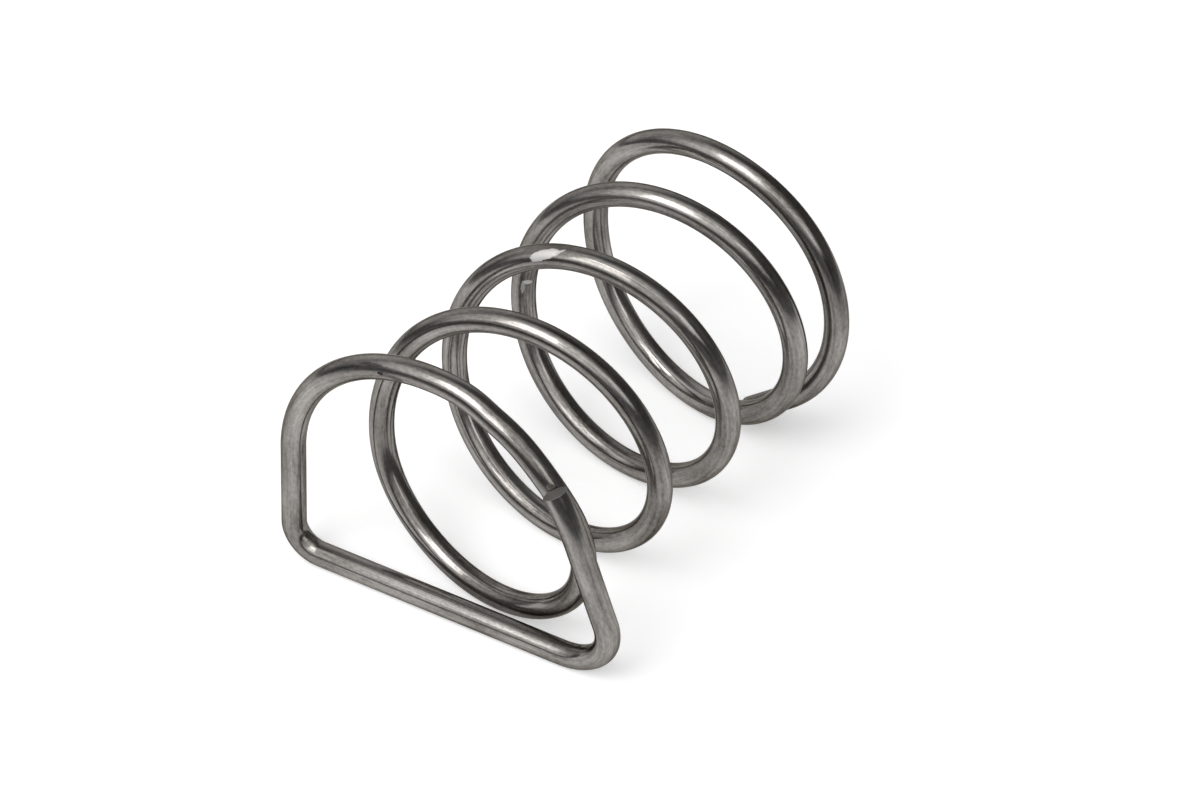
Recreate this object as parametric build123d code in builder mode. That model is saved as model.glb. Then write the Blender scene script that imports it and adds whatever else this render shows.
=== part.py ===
from build123d import *
import os
from math import acos, atan2, cos, hypot, pi, sin, sqrt

# Compression spring wound from one round wire, with a D-shaped first turn.
#
# Frame: +Z up, +Y along the coil axis away from the D-shaped end, +X to the right seen from that
# end. The origin is on the coil axis, level with the top of the D-shaped turn. The spring lies on
# its side: the flat of the D and the bottoms of the coils share one resting level. All sizes in mm;
# turns are counted clockwise from the top, seen from the D-shaped end.

# Wire and open coils
WIRE_DIAMETER = 2.0
COIL_RADIUS = 11.3  # axis to wire centre
OPEN_PITCH = 9.59  # axial advance per turn of the open coils
EXTRA_HEIGHT = 0.2  # how much taller than wide the open coils stand
PITCH_BLEND_TURNS = 0.24  # turns over which one pitch runs into the next
COIL_STEPS = 24  # centreline stations per turn

# Where the coils leave the D-shaped turn, ducking behind the first end of the wire
START_PITCH = -2.0  # the wire first leans back towards the D-shaped end
KICK_TURN = 0.151  # turn where it kicks away from the D
KICK_PITCH = 13.6
KICK_BLEND_TURNS = 0.10
RELAX_TURN = 0.3625  # turn where the kick eases to the open pitch
TUCK_DEPTH = 0.76  # how far inward the wire ducks
TUCK_IN_TURNS = 0.06
TUCK_BACK_TURN = 0.085  # turn where it starts to swing out again
TUCK_OUT_TURNS = 0.36
SWELL = 0.3  # outward swell after that, towards the upright side of the D
SWELL_TURN = 0.56
SWELL_BACK_TURN = 0.68
SWELL_TURNS = 0.13

# Closed end coil
END_GROWTH = 0.57  # how much wider the last turn is than the open coils
END_OFFSET = 0.84  # sideways offset of the last turn
SPREAD_START_TURN = 3.18  # turn where the radius starts to grow
SPREAD_TURNS = 0.83
END_PITCH = 1.2
END_GAP = 0.15  # clearance between the wire's last end and the coil before it
OVERSHOOT = 1.87  # axial bulge where the wire is bent back to close the coil
OVERSHOOT_START_TURN = 3.38
OVERSHOOT_BACK_TURN = 3.71
OVERSHOOT_TURNS = 0.37
LAST_TURN = 4.396  # turn where the wire leaves the round
TAIL_LENGTH = 4.4  # straight wire from there to the cut

# D-shaped turn, in the plane of the loop
FLAT_SETBACK = 0.71  # axial place of the middle of the flat
FLAT_SLEW_ANGLE = 2.0  # degrees that the flat is turned away from square
SIDE_REACH = 3.34  # how far the head of the upright side stands outside the coil
FOOT_SPREAD = 1.08  # how much further out its foot stands
CORNER_REACH = 3.2  # how far the sharp corner before the slanted side lies outside the coil
SIDE_BEND = 2.4  # centreline bend radius, flat to upright side
CORNER_BEND = 4.6  # centreline bend radius, flat to slanted side
TOP_RUN = 1.63  # straight left between the shoulder bend and the top of the coil

# First end of the wire, lying outside and in front of the coil
NOSE_STEP = 0.84  # how much further out than the open coils the wire centre lies
NOSE_GAP = 0.1  # clearance to the coil behind it
NOSE_TURN = 0.165  # turn where the wire starts
NOSE_STEPS = 10
NOSE_TIP = 0.6  # straight wire next to the cut

END_BREAK = 0.15  # chamfer round both cut faces

# Closing point that leaves END_GAP between the last end and the coil one turn before it
cut_turn = LAST_TURN + TAIL_LENGTH / (2 * pi * COIL_RADIUS)
closing_travel = WIRE_DIAMETER + END_GAP + OPEN_PITCH * (cut_turn - 1) - END_PITCH * cut_turn
CLOSING_TURN = closing_travel / (OPEN_PITCH - END_PITCH)


def smooth(value):
    """Ease from 0 to 1 while value goes from 0 to 1."""
    held = min(max(value, 0.0), 1.0)
    return held * held * (3 - 2 * held)


def between(turn, start, back, ease):
    """Rise from 0 to 1 at a start turn and fall to 0 again at a back turn."""
    return smooth((turn - start) / ease) * (1 - smooth((turn - back) / ease))


def opened(turn, centre, blend):
    """Turns travelled past a pitch change that is blended round a centre turn."""
    half = blend / 2
    share = min(max((turn - centre + half) / blend, 0.0), 1.0)
    blended = blend * (share**3 - share**4 / 2)
    return blended + max(turn - centre - half, 0.0)


def advance(turn):
    """Axial travel of the wire centre from the top of the D-shaped turn."""
    travel = START_PITCH * turn
    travel += (KICK_PITCH - START_PITCH) * opened(turn, KICK_TURN, KICK_BLEND_TURNS)
    travel += (OPEN_PITCH - KICK_PITCH) * opened(turn, RELAX_TURN, KICK_BLEND_TURNS)
    travel += (END_PITCH - OPEN_PITCH) * opened(turn, CLOSING_TURN, PITCH_BLEND_TURNS)
    bulge = between(turn, OVERSHOOT_START_TURN, OVERSHOOT_BACK_TURN, OVERSHOOT_TURNS)
    return travel + OVERSHOOT * bulge


def spread(turn):
    """Share of the way from the open coils to the wider last turn."""
    return smooth((turn - SPREAD_START_TURN) / SPREAD_TURNS)


def coil_radius(turn):
    """Distance of the wire centre from the coil axis."""
    tuck = smooth(turn / TUCK_IN_TURNS) * (1 - smooth((turn - TUCK_BACK_TURN) / TUCK_OUT_TURNS))
    swell = between(turn, SWELL_TURN, SWELL_BACK_TURN, SWELL_TURNS)
    return COIL_RADIUS - TUCK_DEPTH * tuck + SWELL * swell + END_GROWTH * spread(turn)


def coil_point(turn):
    """Wire centre at a turn of the coil; every coil keeps the resting level."""
    angle = 2 * pi * turn
    stretch = EXTRA_HEIGHT / 2 * smooth(2 * turn)
    radius = coil_radius(turn) + stretch * cos(2 * angle)
    across = radius * sin(angle) + END_OFFSET * spread(turn)
    height = radius * cos(angle) + END_GROWTH * spread(turn) + stretch
    return Vector(across, advance(turn) - advance(0), height)


def bend(before, corner, after, radius):
    """Start, middle and end of the arc that rounds a corner between two straight runs."""
    back = (before - corner).normalized()
    ahead = (after - corner).normalized()
    half = acos(back.dot(ahead)) / 2
    reach = radius * cos(half) / sin(half)
    middle = (back + ahead).normalized() * (radius / sin(half) - radius)
    return corner + back * reach, corner + middle, corner + ahead * reach


# Plane of the D-shaped turn: it holds the slewed flat and the top of the first coil
flat_middle = Vector(0, FLAT_SETBACK, -COIL_RADIUS)
flat_run = Vector(1, 0, 0).rotate(Axis.Z, FLAT_SLEW_ANGLE)
coil_top = coil_point(0)
loop_plane = Plane(flat_middle, x_dir=flat_run, z_dir=flat_run.cross(coil_top - flat_middle))
loop_height = (coil_top - flat_middle).length

side_place = -COIL_RADIUS - SIDE_REACH

corner = loop_plane.from_local_coords(Vector(COIL_RADIUS + CORNER_REACH, 0, 0))
foot = loop_plane.from_local_coords(Vector(side_place - FOOT_SPREAD, 0, 0))
peak = loop_plane.from_local_coords(Vector(side_place, loop_height, 0))
crown = loop_plane.from_local_coords(Vector(0, loop_height, 0))

# First end: an arc round the coil that runs off in a straight line to the corner of the flat
nose_radius = COIL_RADIUS + NOSE_STEP
nose_offset = nose_radius - coil_radius(NOSE_TURN)
nose_setback = coil_point(NOSE_TURN).Y - sqrt((WIRE_DIAMETER + NOSE_GAP) ** 2 - nose_offset**2)
corner_distance = hypot(corner.X, corner.Z)
nose_start = 2 * pi * NOSE_TURN
nose_stop = atan2(corner.X, corner.Z) - acos(nose_radius / corner_distance)
nose_sweep = nose_stop - nose_start
slant_length = sqrt(corner_distance**2 - nose_radius**2)
nose_slope = (corner.Y - nose_setback) / (slant_length + nose_radius * nose_sweep / 2)


def nose_point(share):
    """Wire centre along the curved first end, from the cut face to the straight slant."""
    angle = nose_start + nose_sweep * share
    rise = nose_slope * nose_radius * nose_sweep * share**2 / 2
    return Vector(nose_radius * sin(angle), nose_setback + rise, nose_radius * cos(angle))


nose_points = [nose_point(step / NOSE_STEPS) for step in range(NOSE_STEPS + 1)]
slant_run = (corner - nose_points[-1]).normalized()
nose_run = Vector(cos(nose_start), 0, -sin(nose_start))

corner_bend = bend(nose_points[-1], corner, foot, CORNER_BEND)
foot_bend = bend(corner, foot, peak, SIDE_BEND)
shoulder_bend = bend(foot, peak, crown, -side_place - TOP_RUN)

coil_turns = [step / COIL_STEPS for step in range(1, int(LAST_TURN * COIL_STEPS))]
coil_points = [coil_point(turn) for turn in coil_turns + [LAST_TURN]]
tail_run = (coil_point(LAST_TURN) - coil_point(LAST_TURN - 0.001)).normalized()

with BuildLine() as centreline:
    Line(nose_points[0] - nose_run * NOSE_TIP, nose_points[0])
    Spline(*nose_points, tangents=[nose_run, slant_run])
    Line(nose_points[-1], corner_bend[0])
    ThreePointArc(*corner_bend)
    Line(corner_bend[2], foot_bend[0])
    ThreePointArc(*foot_bend)
    Line(foot_bend[2], shoulder_bend[0])
    ThreePointArc(*shoulder_bend)
    Spline(shoulder_bend[2], *coil_points, tangents=[flat_run, tail_run], tangent_scalars=[1, 1])
    Line(coil_points[-1], coil_points[-1] + tail_run * TAIL_LENGTH)

with BuildPart() as spring_wire:
    with BuildSketch(Plane(nose_points[0] - nose_run * NOSE_TIP, z_dir=nose_run)):
        Circle(WIRE_DIAMETER / 2)
    sweep(path=centreline.wires()[0])
    cut_faces = spring_wire.faces().filter_by(GeomType.PLANE)
    chamfer(cut_faces.edges(), length=END_BREAK)

spring_wire.part.label = "spring_wire"

os.makedirs("parts", exist_ok=True)
export_step(spring_wire.part, "parts/spring_wire.step")
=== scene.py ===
import logging
from dataclasses import dataclass
from enum import Enum
from math import acos, atan2, cos, hypot, pi, radians, sin, sqrt
from typing import Any, Iterator

import bmesh
import bpy
from mathutils import Matrix, Vector
from mathutils.kdtree import KDTree


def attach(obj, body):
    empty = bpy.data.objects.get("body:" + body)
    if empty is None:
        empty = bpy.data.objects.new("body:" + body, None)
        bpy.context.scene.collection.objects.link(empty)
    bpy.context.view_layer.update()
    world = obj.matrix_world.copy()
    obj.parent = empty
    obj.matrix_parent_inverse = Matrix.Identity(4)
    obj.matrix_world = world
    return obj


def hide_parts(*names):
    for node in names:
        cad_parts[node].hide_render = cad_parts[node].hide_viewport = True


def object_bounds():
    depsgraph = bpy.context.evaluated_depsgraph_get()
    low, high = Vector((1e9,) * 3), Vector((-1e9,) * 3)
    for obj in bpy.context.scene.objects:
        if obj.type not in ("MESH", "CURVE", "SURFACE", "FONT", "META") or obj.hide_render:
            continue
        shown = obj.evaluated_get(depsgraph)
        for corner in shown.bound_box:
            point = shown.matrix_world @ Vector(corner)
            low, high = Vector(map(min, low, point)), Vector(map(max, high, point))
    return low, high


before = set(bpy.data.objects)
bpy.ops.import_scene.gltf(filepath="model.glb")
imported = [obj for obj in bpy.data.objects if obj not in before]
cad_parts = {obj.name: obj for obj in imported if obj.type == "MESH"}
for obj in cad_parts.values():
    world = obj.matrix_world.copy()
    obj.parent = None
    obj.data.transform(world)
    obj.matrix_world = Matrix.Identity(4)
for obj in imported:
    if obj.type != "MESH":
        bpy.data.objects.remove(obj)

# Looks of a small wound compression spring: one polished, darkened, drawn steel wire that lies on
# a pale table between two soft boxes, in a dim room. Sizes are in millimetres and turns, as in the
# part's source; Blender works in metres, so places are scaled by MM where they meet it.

CAD_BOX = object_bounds()
LOG = logging.getLogger("spring")
MM = 0.001


class Slot(Enum):
    """Material slots of the part's record."""

    STEEL = "spring_steel"


# ----------------------------------------------------------------------------- shader helpers


class Num:
    """A number socket with Python operators: each operator adds its Math node."""

    def __init__(self, graph: "Graph", socket: bpy.types.NodeSocket) -> None:
        """Wraps a socket.

        Args:
            graph: the node graph that new Math nodes go into.
            socket: the output socket that carries the number.
        """
        self.graph = graph
        self.socket = socket

    def _math(self, operation: str, *terms: Any) -> "Num":
        """Adds one Math node.

        Args:
            operation: the Math node's operation.
            terms: numbers or wrapped sockets, in socket order.

        Returns:
            The wrapped result.
        """
        inputs = {i: t for i, t in enumerate(terms)}
        node = self.graph.add("ShaderNodeMath", {"operation": operation}, inputs)
        return Num(self.graph, node.outputs[0])

    def __add__(self, other: Any) -> "Num":
        """Returns the sum."""
        return self._math("ADD", self, other)

    __radd__ = __add__

    def __sub__(self, other: Any) -> "Num":
        """Returns self less other."""
        return self._math("SUBTRACT", self, other)

    def __rsub__(self, other: Any) -> "Num":
        """Returns other less self."""
        return self._math("SUBTRACT", other, self)

    def __mul__(self, other: Any) -> "Num":
        """Returns the product."""
        return self._math("MULTIPLY", self, other)

    __rmul__ = __mul__

    def absolute(self) -> "Num":
        """Returns the number without its sign."""
        return self._math("ABSOLUTE", self)

    def largest(self, other: Any) -> "Num":
        """Returns the larger of two numbers."""
        return self._math("MAXIMUM", self, other)

    def ease(self, start: float, stop: float) -> "Num":
        """Eases from 0 to 1 between two values.

        Args:
            start: the value that gives 0.
            stop: the value that gives 1; it may be the smaller.

        Returns:
            The wrapped result.
        """
        settings = {"interpolation_type": "SMOOTHSTEP", "clamp": True}
        node = self.graph.add("ShaderNodeMapRange", settings, {0: self, 1: start, 2: stop})
        return Num(self.graph, node.outputs[0])


class Graph:
    """A node tree that is filled by one method.

    The Mix node has its colours at sockets of their own, which its names don't tell apart.
    """

    MIX_LOW = 6
    MIX_HIGH = 7
    MIX_RESULT = 2
    OCTAVES = 3.0

    def __init__(self, tree: bpy.types.NodeTree) -> None:
        """Empties the tree.

        Args:
            tree: the node tree of a material or of the world.
        """
        self.tree = tree
        tree.nodes.clear()

    def add(
        self, kind: str, settings: dict[str, Any] | None = None, inputs: dict[Any, Any] | None = None
    ) -> bpy.types.Node:
        """Adds one node.

        Args:
            kind: the node's type name.
            settings: properties that are set before the sockets, such as an operation.
            inputs: socket name or place to a value, a socket or a wrapped number.

        Returns:
            The new node.
        """
        node = self.tree.nodes.new(kind)
        for name, value in (settings or {}).items():
            setattr(node, name, value)
        for key, value in (inputs or {}).items():
            if isinstance(value, Num):
                value = value.socket
            if isinstance(value, bpy.types.NodeSocket):
                self.tree.links.new(value, node.inputs[key])
            else:
                node.inputs[key].default_value = value
        return node

    def mix(self, share: Any, low: Any, high: Any) -> bpy.types.NodeSocket:
        """Mixes two colours.

        Args:
            share: how much of the second colour is used.
            low: the colour at 0.
            high: the colour at 1.

        Returns:
            The mixed colour's socket.
        """
        inputs = {"Factor": share, self.MIX_LOW: low, self.MIX_HIGH: high}
        node = self.add("ShaderNodeMix", {"data_type": "RGBA", "clamp_factor": True}, inputs)
        return node.outputs[self.MIX_RESULT]

    def noise(self, place: Any, stretch: Vector, rough: float) -> Num:
        """Adds stretched noise.

        Args:
            place: the socket of the coordinates.
            stretch: cycles per unit along each coordinate.
            rough: how much the finer octaves count.

        Returns:
            The wrapped noise, about 0 to 1.
        """
        mapped = self.add("ShaderNodeMapping", None, {"Vector": place, "Scale": stretch})
        inputs = {"Vector": mapped.outputs[0], "Scale": 1.0, "Detail": self.OCTAVES, "Roughness": rough}
        return Num(self, self.add("ShaderNodeTexNoise", None, inputs).outputs[0])

    def along(self, place: Any, direction: Vector) -> Num:
        """Measures a place along a direction.

        Args:
            place: the socket of the place.
            direction: the direction, with its length as the unit.

        Returns:
            The wrapped dot product.
        """
        inputs = {0: place, 1: direction}
        node = self.add("ShaderNodeVectorMath", {"operation": "DOT_PRODUCT"}, inputs)
        return Num(self, node.outputs["Value"])


# ------------------------------------------------------------------------------- the spring


@dataclass(frozen=True)
class Knot:
    """A place on the wire's centreline and the direction the wire runs there."""

    place: Vector
    run: Vector

    def reach_to(self, other: "Knot") -> float:
        """Returns the handle length that makes a round bend from here to another knot."""
        return (other.place - self.place).length / (3 * cos(self.run.angle(other.run, 0.0) / 4) ** 2)


@dataclass(frozen=True)
class SpringForm:
    """Sizes and centreline of the wound wire, in mm and turns, as in the part's source."""

    wire_diameter: float = 2.0
    coil_radius: float = 11.3
    open_pitch: float = 9.59
    extra_height: float = 0.2
    pitch_blend_turns: float = 0.24
    coil_steps: int = 24
    start_pitch: float = -2.0
    kick_turn: float = 0.151
    kick_pitch: float = 13.6
    kick_blend_turns: float = 0.10
    relax_turn: float = 0.3625
    tuck_depth: float = 0.76
    tuck_in_turns: float = 0.06
    tuck_back_turn: float = 0.085
    tuck_out_turns: float = 0.36
    swell: float = 0.3
    swell_turn: float = 0.56
    swell_back_turn: float = 0.68
    swell_turns: float = 0.13
    end_growth: float = 0.57
    end_offset: float = 0.84
    spread_start_turn: float = 3.18
    spread_turns: float = 0.83
    end_pitch: float = 1.2
    end_gap: float = 0.15
    overshoot: float = 1.87
    overshoot_start_turn: float = 3.38
    overshoot_back_turn: float = 3.71
    overshoot_turns: float = 0.37
    last_turn: float = 4.396
    tail_length: float = 4.4
    flat_setback: float = 0.71
    flat_slew_angle: float = 2.0
    side_reach: float = 3.34
    foot_spread: float = 1.08
    corner_reach: float = 3.2
    side_bend: float = 2.4
    corner_bend: float = 4.6
    top_run: float = 1.63
    nose_step: float = 0.84
    nose_gap: float = 0.1
    nose_turn: float = 0.165
    nose_steps: int = 10
    nose_tip: float = 0.6
    corner_steps: int = 6
    foot_steps: int = 4
    shoulder_steps: int = 8

    @staticmethod
    def smooth(value: float) -> float:
        """Eases from 0 to 1 while value goes from 0 to 1."""
        held = min(max(value, 0.0), 1.0)
        return held * held * (3 - 2 * held)

    def between(self, turn: float, start: float, back: float, ease: float) -> float:
        """Rises from 0 to 1 at a start turn and falls to 0 again at a back turn."""
        return self.smooth((turn - start) / ease) * (1 - self.smooth((turn - back) / ease))

    @staticmethod
    def opened(turn: float, centre: float, blend: float) -> float:
        """Returns the turns travelled past a pitch change that is blended round a centre turn."""
        share = min(max((turn - centre) / blend + 0.5, 0.0), 1.0)
        return blend * (share**3 - share**4 / 2) + max(turn - centre - blend / 2, 0.0)

    @property
    def closing_turn(self) -> float:
        """The turn at which the open coils close."""
        cut_turn = self.last_turn + self.tail_length / (2 * pi * self.coil_radius)
        travel = self.wire_diameter + self.end_gap + self.open_pitch * (cut_turn - 1)
        return (travel - self.end_pitch * cut_turn) / (self.open_pitch - self.end_pitch)

    def advance(self, turn: float) -> float:
        """Returns the axial travel of the wire centre at a turn."""
        kick, relax, close = self.kick_turn, self.relax_turn, self.closing_turn
        travel = self.start_pitch * turn
        travel += (self.kick_pitch - self.start_pitch) * self.opened(turn, kick, self.kick_blend_turns)
        travel += (self.open_pitch - self.kick_pitch) * self.opened(turn, relax, self.kick_blend_turns)
        travel += (self.end_pitch - self.open_pitch) * self.opened(turn, close, self.pitch_blend_turns)
        start, back = self.overshoot_start_turn, self.overshoot_back_turn
        return travel + self.overshoot * self.between(turn, start, back, self.overshoot_turns)

    def spread(self, turn: float) -> float:
        """Returns the share of the way from the open coils to the wider last turn."""
        return self.smooth((turn - self.spread_start_turn) / self.spread_turns)

    def radius_at(self, turn: float) -> float:
        """Returns the distance of the wire centre from the coil axis."""
        tuck = self.smooth(turn / self.tuck_in_turns)
        tuck *= 1 - self.smooth((turn - self.tuck_back_turn) / self.tuck_out_turns)
        swell = self.between(turn, self.swell_turn, self.swell_back_turn, self.swell_turns)
        grown = self.coil_radius + self.end_growth * self.spread(turn)
        return grown - self.tuck_depth * tuck + self.swell * swell

    def coil_place(self, turn: float) -> Vector:
        """Returns the wire centre at a turn of the coil."""
        angle, spread = 2 * pi * turn, self.spread(turn)
        stretch = self.extra_height / 2 * self.smooth(2 * turn)
        radius = self.radius_at(turn) + stretch * cos(2 * angle)
        across = radius * sin(angle) + self.end_offset * spread
        height = radius * cos(angle) + self.end_growth * spread + stretch
        return Vector((across, self.advance(turn) - self.advance(0), height))

    def coil_run(self, turn: float) -> Vector:
        """Returns the direction of the wire at a turn of the coil."""
        step = 0.001
        return (self.coil_place(turn + step) - self.coil_place(turn - step)).normalized()

    @staticmethod
    def round_corner(
        before: Vector, corner: Vector, after: Vector, radius: float, steps: int
    ) -> list[Knot]:
        """Rounds the corner between two straight runs.

        Args:
            before: a place on the run that comes in.
            corner: where the two runs would meet.
            after: a place on the run that goes out.
            radius: the bend radius of the wire centre.
            steps: lengths that the arc is divided into.

        Returns:
            The knots along the arc.
        """
        back, ahead = (before - corner).normalized(), (after - corner).normalized()
        half = acos(back.dot(ahead)) / 2
        centre = corner + (back + ahead).normalized() * (radius / sin(half))
        start = corner + back * (radius * cos(half) / sin(half)) - centre
        swing = Matrix.Rotation((pi - 2 * half) / steps, 3, back.cross(ahead) * -1)
        knots, run = [], -back
        for _ in range(steps + 1):
            knots.append(Knot(centre + start, run.normalized()))
            start, run = swing @ start, swing @ run
        return knots

    def knots(self) -> list[Knot]:
        """Returns the whole centreline, from the first cut end to the last."""
        slew = radians(self.flat_slew_angle)
        flat_middle = Vector((0, self.flat_setback, -self.coil_radius))
        flat_run = Vector((cos(slew), sin(slew), 0))
        rise = self.coil_place(0) - flat_middle
        upright = (rise - flat_run * rise.dot(flat_run)).normalized() * rise.length

        corner = flat_middle + flat_run * (self.coil_radius + self.corner_reach)
        side_place = -self.coil_radius - self.side_reach
        foot = flat_middle + flat_run * (side_place - self.foot_spread)
        peak, crown = flat_middle + flat_run * side_place + upright, flat_middle + upright

        nose_radius = self.coil_radius + self.nose_step
        offset = nose_radius - self.radius_at(self.nose_turn)
        setback = self.coil_place(self.nose_turn).y
        setback -= sqrt((self.wire_diameter + self.nose_gap) ** 2 - offset**2)
        corner_distance = hypot(corner.x, corner.z)
        start = 2 * pi * self.nose_turn
        sweep = atan2(corner.x, corner.z) - acos(nose_radius / corner_distance) - start
        slant = sqrt(corner_distance**2 - nose_radius**2)
        slope = (corner.y - setback) / (slant + nose_radius * sweep / 2)

        nose = []
        for step in range(self.nose_steps + 1):
            share = step / self.nose_steps
            angle = start + sweep * share
            lift = slope * nose_radius * sweep * share**2 / 2
            place = Vector((nose_radius * sin(angle), setback + lift, nose_radius * cos(angle)))
            nose.append(Knot(place, Vector((cos(angle), slope * share, -sin(angle))).normalized()))
        tip = Knot(nose[0].place - nose[0].run * self.nose_tip, nose[0].run)

        shoulder_bend = -side_place - self.top_run
        loop = self.round_corner(nose[-1].place, corner, foot, self.corner_bend, self.corner_steps)
        loop += self.round_corner(corner, foot, peak, self.side_bend, self.foot_steps)
        loop += self.round_corner(foot, peak, crown, shoulder_bend, self.shoulder_steps)

        last = int(self.last_turn * self.coil_steps)
        turns = [step / self.coil_steps for step in range(1, last)] + [self.last_turn]
        coil = [Knot(self.coil_place(turn), self.coil_run(turn)) for turn in turns]
        end = Knot(coil[-1].place + coil[-1].run * self.tail_length, coil[-1].run)
        return [tip, *nose, *loop, *coil, end]


@dataclass
class SpringWire:
    """The wound wire: its mesh, and the place that each point had on the straight wire.

    form holds the sizes of its centreline. edge_break is the bevel of both cut edges and
    station_spacing the step along the centreline, in mm; merge_distance is in metres and
    smooth_angle in degrees. piece and length are filled in as the wire is wound.
    """

    form: SpringForm
    name: str = "spring_wire_drawn"
    node: str = "spring_wire"
    sides_setting: int = 18
    rings_per_knot: int = 8
    edge_break: float = 0.15
    edge_segments: int = 2
    merge_distance: float = 1e-7
    smooth_angle: float = 25
    station_spacing: float = 0.25
    piece: bpy.types.Object | None = None
    length: float = 0.0

    def wind(self) -> bpy.types.Object:
        """Models the wire as a bevelled curve, makes it a mesh and breaks its cut edges.

        Returns:
            The finished piece, at the origin.
        """
        knots = self.form.knots()
        bpy.ops.object.select_all(action="DESELECT")
        bpy.ops.curve.primitive_bezier_curve_add(location=(0, 0, 0))
        piece = bpy.context.object
        piece.name = piece.data.name = self.name
        curve = piece.data
        curve.dimensions = "3D"
        curve.twist_mode = "MINIMUM"
        curve.resolution_u = self.rings_per_knot
        curve.bevel_depth = self.form.wire_diameter / 2 * MM
        curve.bevel_resolution = self.sides_setting
        curve.use_fill_caps = True
        points = curve.splines[0].bezier_points
        points.add(len(knots) - len(points))
        for point, knot in zip(points, knots):
            point.handle_left_type = point.handle_right_type = "FREE"
            point.co = point.handle_left = point.handle_right = knot.place * MM
        for (first, a), (second, b) in zip(zip(points, knots), zip(points[1:], knots[1:])):
            reach = a.reach_to(b)
            first.handle_right = (a.place + a.run * reach) * MM
            second.handle_left = (b.place - b.run * reach) * MM
        bpy.ops.object.convert(target="MESH")
        self.break_edges(piece)
        bpy.ops.object.shade_smooth_by_angle(angle=radians(self.smooth_angle))
        self.mark_places(piece, knots)
        self.piece = piece
        return piece

    def break_edges(self, piece: bpy.types.Object) -> None:
        """Bevels the rims of both cut faces.

        Args:
            piece: the wire's mesh object, which is the active one.
        """
        bpy.ops.object.mode_set(mode="EDIT")
        bpy.ops.mesh.select_mode(type="FACE")
        bpy.ops.mesh.select_all(action="SELECT")
        bpy.ops.mesh.remove_doubles(threshold=self.merge_distance)
        bpy.ops.mesh.normals_make_consistent(inside=False)
        bpy.ops.mesh.select_all(action="DESELECT")
        data = bmesh.from_edit_mesh(piece.data)
        for face in data.faces:
            face.select_set(len(face.verts) > 4)
        bmesh.update_edit_mesh(piece.data)
        bpy.ops.mesh.region_to_loop()
        bpy.ops.mesh.bevel(offset=self.edge_break * MM, segments=self.edge_segments, affect="EDGES")
        bpy.ops.object.mode_set(mode="OBJECT")

    @staticmethod
    def stations(knots: list[Knot], spacing: float) -> Iterator[tuple[Vector, Vector]]:
        """Yields close places on the centreline, with their directions.

        Args:
            knots: the centreline's knots.
            spacing: the largest distance between two places, in mm.

        Yields:
            A place in mm and the wire's direction there.
        """
        for a, b in zip(knots, knots[1:]):
            steps = max(2, int((b.place - a.place).length / spacing))
            reach = a.reach_to(b)
            c, d = a.place + a.run * reach, b.place - b.run * reach
            for step in range(steps):
                t = step / steps
                u = 1 - t
                place = a.place * u**3 + c * (3 * u * u * t) + d * (3 * u * t * t) + b.place * t**3
                run = (c - a.place) * u * u + (d - c) * (2 * u * t) + (b.place - d) * t * t
                yield place, run.normalized()
        yield knots[-1].place, knots[-1].run

    def mark_places(self, piece: bpy.types.Object, knots: list[Knot]) -> None:
        """Stores on each vertex its place on the straight wire, before winding.

        The attribute wire_place holds the length along the wire in mm, then the place across it
        on a circle of the wire's radius, so that a pattern on it has no seam.

        Args:
            piece: the wire's mesh object.
            knots: the centreline's knots.
        """
        places, runs, sides, lengths = [], [], [], []
        side = Vector((0, 1, 0))
        length = 0.0
        for place, run in self.stations(knots, self.station_spacing):
            side = (side - run * side.dot(run)).normalized()
            length += (place - places[-1]).length if places else 0.0
            places.append(place)
            runs.append(run)
            sides.append(side)
            lengths.append(length)
        tree = KDTree(len(places))
        for index, place in enumerate(places):
            tree.insert(place * MM, index)
        tree.balance()
        mesh = piece.data
        attribute = mesh.attributes.new("wire_place", "FLOAT_VECTOR", "POINT")
        values = []
        for vertex in mesh.vertices:
            _, index, _ = tree.find(vertex.co)
            offset = vertex.co / MM - places[index]
            beyond = offset.dot(runs[index])
            across = offset.dot(sides[index])
            around = offset.dot(runs[index].cross(sides[index]))
            values += [lengths[index] + beyond, across, around]
        attribute.data.foreach_set("vector", values)
        self.length = lengths[-1]

    def dress(self, material: bpy.types.Material) -> None:
        """Gives the wire its finish and ties it to the frame.

        Args:
            material: the wire's finish.
        """
        self.piece.data.materials.clear()
        self.piece.data.materials.append(material)
        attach(self.piece, "root")
        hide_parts(self.node)


# ------------------------------------------------------------------------------- the finish


class MarkKind(Enum):
    """The kinds of mark on the wire."""

    SCRAPED = "bare and dull"
    DARK_SPOT = "dark"


@dataclass(frozen=True)
class Mark:
    """An oval mark on the wire.

    reach is its distance along the wire from the first cut end and bearing its place round the
    wire in degrees; long and wide are half its size, and turned is how far its length is turned
    from the wire's, in degrees.
    """

    mark_kind: MarkKind
    reach: float
    bearing: float
    long: float
    wide: float
    turned: float
    strength: float


@dataclass(frozen=True)
class Pattern:
    """A noise pattern on the straight wire.

    along and across are its cycles in a mm along and across the wire, rough is how much its finer
    octaves count, and tone is how much it moves the steel's tone.
    """

    along: float
    across: float
    rough: float
    tone: float

    def build(self, graph: Graph, drawn: bpy.types.NodeSocket) -> Num:
        """Adds the pattern.

        Args:
            graph: the material's graph.
            drawn: the socket of the place on the straight wire.

        Returns:
            Noise about 0.
        """
        return graph.noise(drawn, Vector((self.along, self.across, self.across)), self.rough) - 0.5


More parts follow.
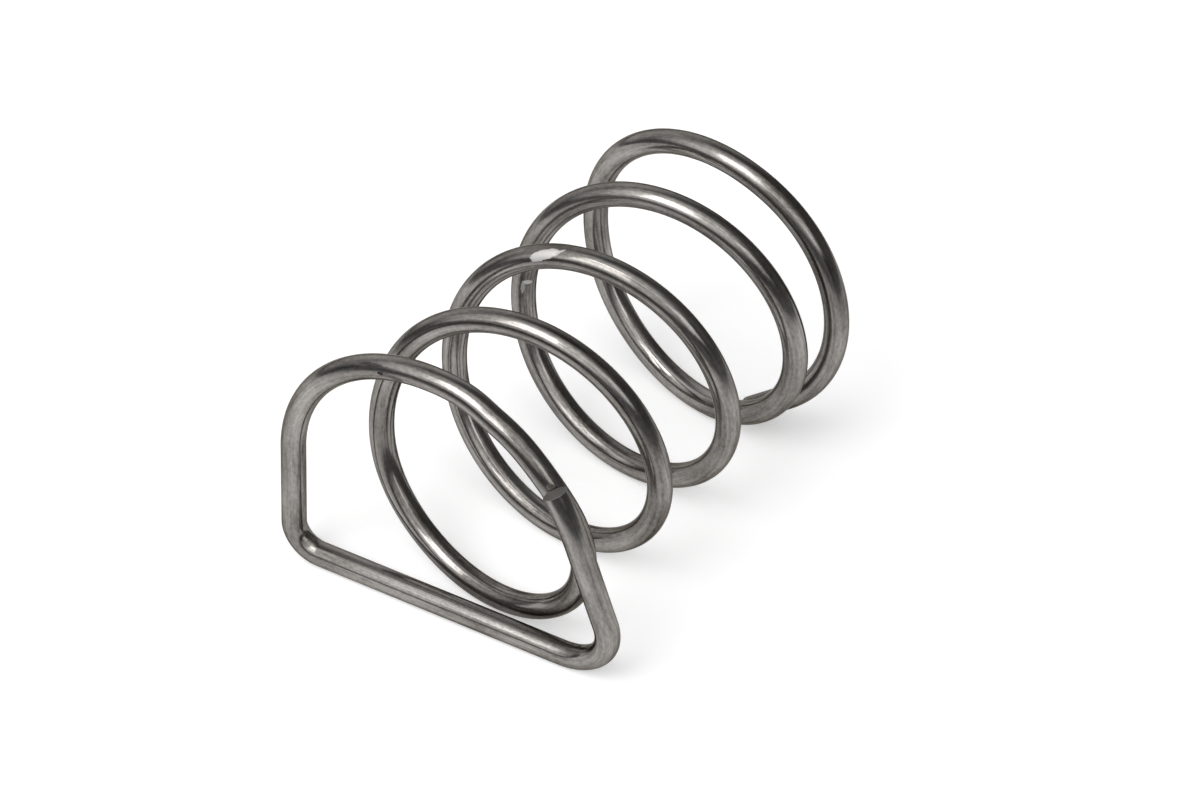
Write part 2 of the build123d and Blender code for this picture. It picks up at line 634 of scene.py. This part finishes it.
@dataclass(frozen=True)
class DrawnSteel:
    """Polished spring wire with a thin dark skin, drawing lines and a few marks.

    light and dark are the thin and thick places of the skin, and rim is the share that is left at a
    glancing view. The names in rough are what each pattern or mark adds to the roughness, and those
    in relief what it adds to the height. The pairs are where a mark's edge, its turn to the wire's
    far side, and a cut face's rim (in mm) begin and end.
    """

    light: tuple[float, float, float] = (0.385, 0.370, 0.354)
    dark: tuple[float, float, float] = (0.092, 0.083, 0.074)
    bare: tuple[float, float, float] = (0.64, 0.63, 0.615)
    # colour of the dark, slightly reddish spots near the top of the D-shaped loop
    dark_spot: tuple[float, float, float] = (0.045, 0.036, 0.040)
    sheared: tuple[float, float, float] = (0.30, 0.29, 0.28)
    rim: tuple[float, float, float] = (0.38, 0.36, 0.34)
    blotch: Pattern = Pattern(along=0.17, across=0.75, rough=0.55, tone=1.5)
    streak: Pattern = Pattern(along=0.06, across=3.4, rough=0.60, tone=1.3)
    grain: Pattern = Pattern(along=2.2, across=5.0, rough=0.65, tone=0.9)
    rough: float = 0.18
    streak_rough: float = 0.16
    blotch_rough: float = -0.25
    scrape_rough: float = 0.40
    dark_spot_rough: float = 0.15
    cut_rough: float = 0.35
    streak_relief: float = 0.6
    grain_relief: float = 0.4
    dark_spot_relief: float = -0.5
    bump_strength: float = 0.14
    bump_distance: float = 0.00004
    fray: float = 1.6
    mark_edge: tuple[float, float] = (1.15, 0.75)
    mark_side: tuple[float, float] = (0.0, 0.3)
    cut_rim: tuple[float, float] = (-0.08, -0.02)
    marks: tuple[Mark, ...] = (
        Mark(MarkKind.SCRAPED, reach=216.05, bearing=-122, long=1.34, wide=0.40, turned=-13, strength=1.0),
        Mark(MarkKind.SCRAPED, reach=217.4, bearing=-143, long=0.36, wide=0.09, turned=-32, strength=0.8),
        Mark(MarkKind.SCRAPED, reach=274.0, bearing=2, long=0.20, wide=0.38, turned=0, strength=1.0),
        Mark(MarkKind.SCRAPED, reach=273.5, bearing=-19, long=0.60, wide=0.16, turned=0, strength=0.55),
        # three dark, slightly reddish spots with a shallow dip, near the top of the D-shaped loop
        Mark(MarkKind.DARK_SPOT, reach=71.1, bearing=-177, long=0.30, wide=0.16, turned=8, strength=0.95),
        Mark(MarkKind.DARK_SPOT, reach=72.1, bearing=-167, long=1.1, wide=0.22, turned=12, strength=0.5),
        Mark(MarkKind.DARK_SPOT, reach=70.3, bearing=145, long=1.1, wide=0.15, turned=3, strength=0.7),
    )

    def mask(self, graph: Graph, drawn: bpy.types.NodeSocket, mark_kind: MarkKind, ragged: Num) -> Num:
        """Adds the mask of one kind of mark.

        Args:
            graph: the material's graph.
            drawn: the socket of the place on the straight wire.
            mark_kind: the kind of mark.
            ragged: noise about 0 that frays their edges.

        Returns:
            1 in a mark and 0 elsewhere.
        """
        mask = None
        for mark in self.marks:
            if mark.mark_kind is not mark_kind:
                continue
            bearing, turned = radians(mark.bearing), radians(mark.turned)
            ahead, beside = Vector((1, 0, 0)), Vector((0, -sin(bearing), cos(bearing)))
            run = (ahead * cos(turned) + beside * sin(turned)) / mark.long
            across = (beside * cos(turned) - ahead * sin(turned)) / mark.wide
            far = graph.along(drawn, run) - run.x * mark.reach
            aside = graph.along(drawn, across) - across.x * mark.reach
            facing = graph.along(drawn, Vector((0, cos(bearing), sin(bearing)))).ease(*self.mark_side)
            oval = (far * far + aside * aside + ragged * self.fray).ease(*self.mark_edge)
            patch = oval * facing * mark.strength
            mask = patch if mask is None else mask.largest(patch)
        return mask

    def cut_faces(self, graph: Graph, drawn: bpy.types.NodeSocket, wire_length: float) -> Num:
        """Adds the mask of the two cut faces.

        Args:
            graph: the material's graph.
            drawn: the socket of the place on the straight wire.
            wire_length: length of the wire in mm.

        Returns:
            1 on a cut face and 0 elsewhere.
        """
        reach = graph.along(drawn, Vector((1, 0, 0)))
        depth = (reach - wire_length / 2).absolute() - wire_length / 2
        return depth.ease(*self.cut_rim)

    def build(self, wire_length: float) -> bpy.types.Material:
        """Makes the material.

        Args:
            wire_length: length of the wire in mm.

        Returns:
            The finished material.
        """
        material = bpy.data.materials.new("drawn spring steel")
        material.use_nodes = True
        graph = Graph(material.node_tree)
        drawn = graph.add("ShaderNodeAttribute", {"attribute_name": "wire_place"}).outputs["Vector"]

        blotch = self.blotch.build(graph, drawn)
        streak = self.streak.build(graph, drawn)
        grain = self.grain.build(graph, drawn)
        scrape = self.mask(graph, drawn, MarkKind.SCRAPED, grain)
        # dark spots: a darker, slightly reddish colour, a little more roughness and a shallow dip
        dark_spot = self.mask(graph, drawn, MarkKind.DARK_SPOT, grain)

        tone = blotch * self.blotch.tone + streak * self.streak.tone + grain * self.grain.tone + 0.5
        steel = graph.mix(tone, (*self.dark, 1), (*self.light, 1))
        cut = self.cut_faces(graph, drawn, wire_length)
        steel = graph.mix(cut, steel, (*self.sheared, 1))
        steel = graph.mix(dark_spot, steel, (*self.dark_spot, 1))
        steel = graph.mix(scrape, steel, (*self.bare, 1))
        roughness = streak * self.streak_rough + blotch * self.blotch_rough + self.rough
        roughness += scrape * self.scrape_rough + dark_spot * self.dark_spot_rough + cut * self.cut_rough
        height = streak * self.streak_relief + grain * self.grain_relief
        height += scrape * grain + dark_spot * self.dark_spot_relief
        relief = {"Strength": self.bump_strength, "Distance": self.bump_distance, "Height": height}
        bump = graph.add("ShaderNodeBump", None, relief)
        shader = graph.add(
            "ShaderNodeBsdfPrincipled",
            None,
            {
                "Base Color": steel,
                "Metallic": 1.0,
                "Roughness": roughness,
                "Specular Tint": (*self.rim, 1),
                "Normal": bump.outputs[0],
            },
        )
        graph.add("ShaderNodeOutputMaterial", None, {"Surface": shader.outputs[0]})
        return material


# ------------------------------------------------------------------------------- the studio


def heading(bearing: float, height: float) -> Vector:
    """Works out a direction.

    Args:
        bearing: degrees from the D-shaped end's side (0) towards the right (90).
        height: degrees above the horizon.

    Returns:
        The direction, with a length of 1.
    """
    turn, rise = radians(bearing), radians(height)
    return Vector((sin(turn) * cos(rise), -cos(turn) * cos(rise), sin(rise)))


@dataclass(frozen=True)
class SoftBox:
    """A rectangular soft light that faces the spring.

    bearing and height are its direction in degrees, wide and tall are metres, and glow is the
    brightness of its face, where 1 is white.
    """

    name: str
    bearing: float
    height: float
    wide: float
    tall: float
    glow: float


@dataclass(frozen=True)
class Haze:
    """Soft light from a part of the room.

    glow is its brightness at its middle, which fades to nothing at reach degrees from there and at
    sill degrees above the horizon.
    """

    bearing: float
    height: float
    reach: float
    sill: float
    glow: float


@dataclass(frozen=True)
class Studio:
    """The pale table, the soft lights, the dim room and the camera.

    room is the brightness of its walls. table_glow is the table's own light, table_hold how much of
    it reflections leave out, and table_dark its brightness in them outside the pool of light, which
    fades between pool_near and pool_far from pool_middle. Lengths are metres, but for the lens.
    """

    target: Vector
    table_height: float
    boxes: tuple[SoftBox, ...] = (
        SoftBox("key_box", -8, 47, 0.33, 0.40, 3.35),
        SoftBox("side_box", 66, 27, 0.28, 0.28, 1.25),
    )
    distance: float = 0.60
    hazes: tuple[Haze, ...] = (
        Haze(-8, 42, 68, 2, 1.28),
        Haze(-125, 6, 62, -40, 0.70),
        Haze(52, 56, 46, 0, 0.4),
    )
    sill_blur: float = 16
    room: float = 0.13
    table_dark: float = 0.19
    table_tone: float = 0.80
    table_side: float = 1.6
    pool_middle: Vector = Vector((-0.055, 0.06, 0))
    table_glow: float = 0.355
    table_hold: float = 0.025
    pool_near: float = 0.082
    pool_far: float = 0.15
    camera_place: Vector = Vector((0.2189, -0.3064, 0.3109))
    camera_view: Vector = Vector((-0.4355, 0.6486, -0.6243))
    sensor_width: float = 36
    lens: float = 192.7

    def lay_table(self) -> None:
        """Adds the pale table top, which is white to the eye, keeps the shadow and has a pool of light.

        In reflections the table fades outside the pool, as it does at the edge of a lit sweep.
        """
        bpy.ops.object.select_all(action="DESELECT")
        bpy.ops.mesh.primitive_plane_add(size=self.table_side, location=(0, 0, self.table_height))
        table = bpy.context.object
        table.name = "table"
        material = bpy.data.materials.new("pale table")
        material.use_nodes = True
        graph = Graph(material.node_tree)
        path = graph.add("ShaderNodeLightPath")
        names = ("Is Camera Ray", "Is Glossy Ray", "Is Transmission Ray")
        camera, glossy, through = (Num(graph, path.outputs[name]) for name in names)
        place = graph.add("ShaderNodeTexCoord").outputs["Object"]
        inputs = {0: place, 1: self.pool_middle}
        away = graph.add("ShaderNodeVectorMath", {"operation": "DISTANCE"}, inputs)
        dim = Num(graph, away.outputs["Value"]).ease(self.pool_near, self.pool_far)
        matt = graph.add("ShaderNodeBsdfDiffuse", None, {"Color": (self.table_tone,) * 3 + (1,)})
        seen = camera.largest(glossy).largest(through)
        strength = seen * self.table_glow - glossy * self.table_hold
        glow = graph.add("ShaderNodeEmission", None, {"Color": (1, 1, 1, 1), "Strength": strength})
        lit = graph.add("ShaderNodeAddShader", None, {0: matt.outputs[0], 1: glow.outputs[0]})
        dark = graph.add("ShaderNodeEmission", None, {"Color": (1, 1, 1, 1), "Strength": self.table_dark})
        share = glossy * dim
        both = graph.add("ShaderNodeMixShader", None, {0: share, 1: lit.outputs[0], 2: dark.outputs[0]})
        graph.add("ShaderNodeOutputMaterial", None, {"Surface": both.outputs[0]})
        table.data.materials.append(material)

    def hang_lights(self) -> None:
        """Adds the soft boxes, each facing the spring."""
        for box in self.boxes:
            away = heading(box.bearing, box.height)
            bpy.ops.object.light_add(type="AREA", location=self.target + away * self.distance)
            lamp = bpy.context.object
            lamp.name = box.name
            lamp.rotation_euler = away.to_track_quat("Z", "Y").to_euler()
            lamp.data.shape = "RECTANGLE"
            lamp.data.size, lamp.data.size_y = box.wide, box.tall
            lamp.data.energy = box.glow * pi * box.wide * box.tall
            LOG.info("light %s: %.2f W", box.name, lamp.data.energy)

    def light_room(self) -> None:
        """Fills the room with a dim grey and the soft hazes."""
        world = bpy.data.worlds.new("studio room")
        bpy.context.scene.world = world
        world.use_nodes = True
        graph = Graph(world.node_tree)
        towards = graph.add("ShaderNodeTexCoord").outputs["Generated"]
        height = graph.along(towards, Vector((0, 0, 1)))
        light = None
        for haze in self.hazes:
            facing = graph.along(towards, heading(haze.bearing, haze.height))
            above = height.ease(sin(radians(haze.sill)), sin(radians(haze.sill + self.sill_blur)))
            part = facing.ease(cos(radians(haze.reach)), 1.0) * above * haze.glow
            light = part + (self.room if light is None else light)
        back = graph.add("ShaderNodeBackground", None, {"Color": (1, 1, 1, 1), "Strength": light})
        graph.add("ShaderNodeOutputWorld", None, {"Surface": back.outputs[0]})

    def set_camera(self) -> None:
        """Adds the camera, high in front and to the right of the D-shaped end."""
        bpy.ops.object.camera_add(location=self.camera_place)
        camera = bpy.context.object
        camera.name = "camera"
        camera.rotation_euler = self.camera_view.normalized().to_track_quat("-Z", "Y").to_euler()
        camera.data.sensor_width = self.sensor_width
        camera.data.lens = self.lens
        camera.data.clip_start, camera.data.clip_end = 0.01, 20
        bpy.context.scene.camera = camera

    def set_up(self) -> None:
        """Builds the whole studio."""
        self.lay_table()
        self.hang_lights()
        self.light_room()
        self.set_camera()
        bpy.context.scene.view_settings.view_transform = "Standard"


def main() -> None:
    """Builds the spring and its studio."""
    logging.basicConfig(level=logging.INFO, format="%(name)s: %(message)s")
    form = SpringForm()
    spring = SpringWire(form)
    piece = spring.wind()
    spring.dress(DrawnSteel().build(spring.length))
    LOG.info("%s: %d faces", piece.name, len(piece.data.polygons))
    low, high = CAD_BOX
    Studio(target=(low + high) / 2, table_height=low.z).set_up()


if __name__ == "__main__":
    main()
